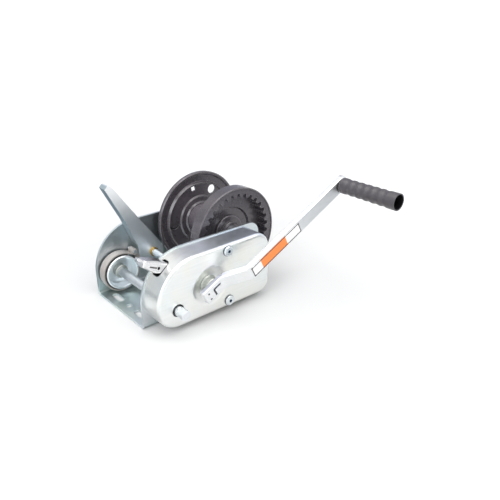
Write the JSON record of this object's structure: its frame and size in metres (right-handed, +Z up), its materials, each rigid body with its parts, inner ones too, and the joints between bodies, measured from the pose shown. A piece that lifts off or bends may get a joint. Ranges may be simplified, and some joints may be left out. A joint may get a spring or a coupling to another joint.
{
  "type": "boat trailer winch",
  "caption": "Hand winch with a two-flange rope reel, geared crank shafts under a drawn case, a band brake with lever and a channel frame.",
  "frame": {"origin": "middle of the underside of the frame's base plate", "axes": "+X from the brake end to the reel end, +Y from the crank side to the far side along every shaft, +Z up"},
  "size_m": [0.3318, 0.3253, 0.1765],
  "materials": {
    "zinc_frame": "bluish zinc plate, fine brushed",
    "zinc_cover": "bright zinc plate with pale iridescent tints",
    "zinc_arm": "satin zinc plate",
    "zinc_lever": "blue zinc plate",
    "zinc_drum": "bright zinc plate",
    "dark_coat": "dark grey semi-gloss coat",
    "steel": "bare turned steel",
    "screw_steel": "blue zinc plate",
    "dark_steel": "blackened steel",
    "tab_chrome": "bright plate",
    "bush_bronze": "oiled sintered bronze",
    "bush_amber": "yellow passivated brass",
    "hub_cream": "cream passivated steel",
    "lining_grey": "woven brake lining",
    "band_grey": "taupe coated strip",
    "grip_plastic": "fine matte",
    "label_film": "printed film, orange panel with a white border"
  },
  "bodies": {
    "winch_frame": {"frame": "zinc_frame", "shaft_bushes": "bush_bronze", "gear_cover": "zinc_cover", "idler_cup": "zinc_frame", "cover_posts": "steel", "cover_screws": "screw_steel", "screw_washers": "dark_steel", "reel_axle": "steel", "axle_nut": "screw_steel", "axle_spacers": "steel", "brake_band": "band_grey", "brake_lining": "lining_grey", "band_anchor": "steel", "pawl_pin": "steel"},
    "reel": {"reel_near_flange": "dark_coat", "ring_gear": "dark_coat", "reel_far_flange": "dark_coat", "reel_hub_tube": "dark_coat", "reel_near_hub": "dark_coat", "reel_far_hub": "dark_coat"},
    "idler": {"idler_shaft": "steel", "idler_pinion": "steel", "idler_gear": "steel"},
    "crank": {"high_shaft": "steel", "high_pinion": "steel", "high_gear": "steel", "ratchet_wheel": "steel", "crank_collar": "hub_cream", "high_shaft_clip": "steel", "crank_arm": "zinc_arm", "crank_hub": "steel", "latch_spring": "steel", "latch_rivets": "dark_steel", "arm_label": "label_film", "grip_spindle": "dark_steel"},
    "low_gear": {"low_shaft": "steel", "low_shaft_sleeve": "steel", "low_pinion": "steel", "brake_drum": "zinc_drum", "drum_hub": "hub_cream", "low_shaft_clip": "steel"},
    "lever": {"brake_lever": "zinc_lever", "lever_bush": "bush_amber", "lever_pin": "steel"},
    "pawl_arm": {"pawl": "tab_chrome", "thumb_tab": "tab_chrome"},
    "handle_grip": {"grip": "grip_plastic"}
  },
  "joints": [
    {"name": "crank_spin", "type": "hinge", "parent": "winch_frame", "child": "crank", "pos_m": [-0.0165, 0, 0.0545], "axis": [0, 1, 0], "continuous": true},
    {"name": "reel_spin", "type": "hinge", "parent": "winch_frame", "child": "reel", "pos_m": [0.0773, 0, 0.0868], "axis": [0, 1, 0], "continuous": true},
    {"name": "idler_spin", "type": "hinge", "parent": "winch_frame", "child": "idler", "pos_m": [0.04598, 0, 0.05589], "axis": [0, 1, 0], "continuous": true},
    {"name": "low_gear_spin", "type": "hinge", "parent": "winch_frame", "child": "low_gear", "pos_m": [-0.07208, 0, 0.03547], "axis": [0, 1, 0], "continuous": true},
    {"name": "grip_spin", "type": "hinge", "parent": "crank", "child": "handle_grip", "pos_m": [0.20423, -0.19, 0.16311], "axis": [0, 1, 0], "continuous": true},
    {"name": "brake_lever_swing", "type": "hinge", "parent": "winch_frame", "child": "lever", "pos_m": [-0.0165, 0, 0.0545], "axis": [0, 1, 0], "range_deg": [-3, 9]},
    {"name": "pawl_swing", "type": "hinge", "parent": "winch_frame", "child": "pawl_arm", "pos_m": [-0.056, 0, 0.086], "axis": [0, 1, 0], "range_deg": [-5, 3]}
  ],
  "couplings": [
    {"joint": "idler_spin", "follows": "crank_spin", "ratio": -0.5625},
    {"joint": "reel_spin", "follows": "crank_spin", "ratio": -0.16331},
    {"joint": "low_gear_spin", "follows": "crank_spin", "ratio": -2.3571}
  ]
}
